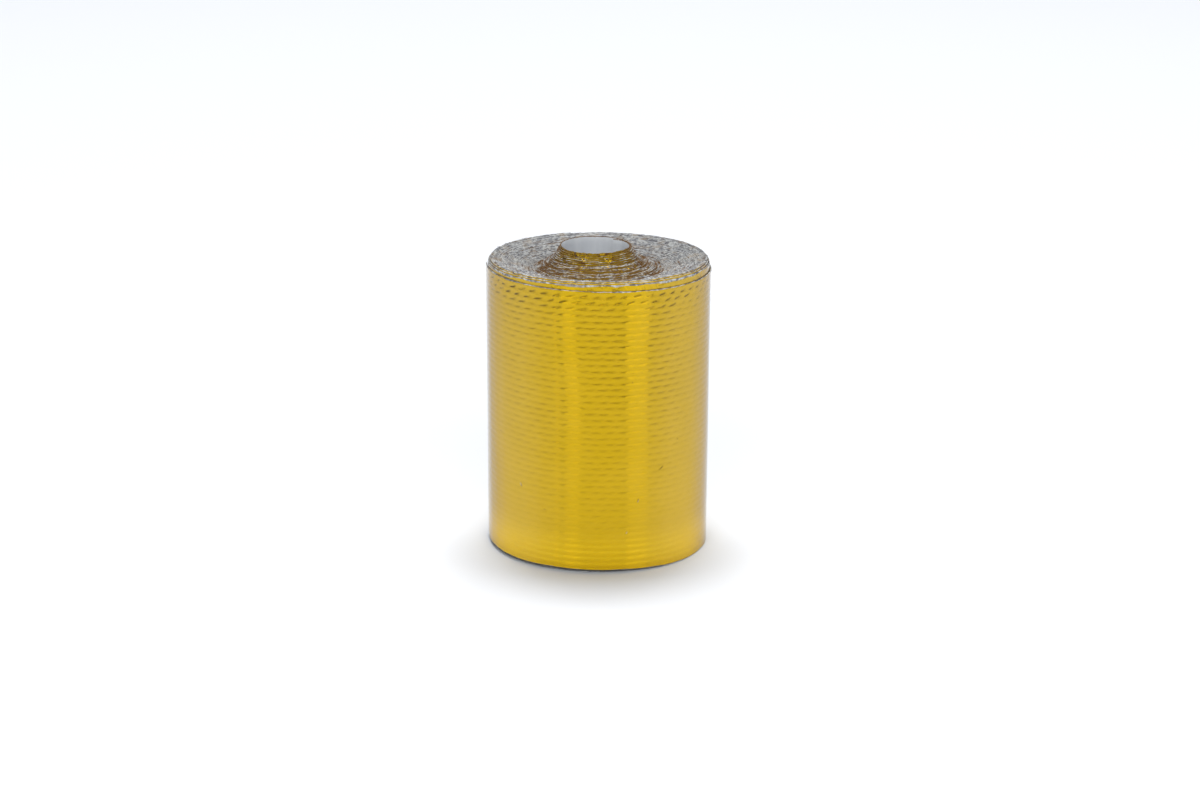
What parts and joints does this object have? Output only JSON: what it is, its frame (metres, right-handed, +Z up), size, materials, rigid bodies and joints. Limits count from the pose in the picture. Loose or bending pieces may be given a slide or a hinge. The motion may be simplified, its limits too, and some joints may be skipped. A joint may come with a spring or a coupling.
{
  "type": "reflective heat tape",
  "caption": "Roll of gold heat-reflective tape standing on its end, wound without a core round an open bore, its inner turns raised in a mound.",
  "frame": {"origin": "on the floor under the middle of the roll, at the level of its lowest turns", "axes": "+Z up along the roll's axis, +X to the right in the picture, and -Y towards its camera"},
  "size_m": [0.0394, 0.0394, 0.054],
  "materials": {
    "gold_film": "bright metallised film over a woven cloth",
    "glass_cloth": "cut edges of woven glass cloth",
    "release_liner": "smooth pale release liner"
  },
  "bodies": {
    "root": {"tape_roll": "gold_film"}
  },
  "joints": []
}
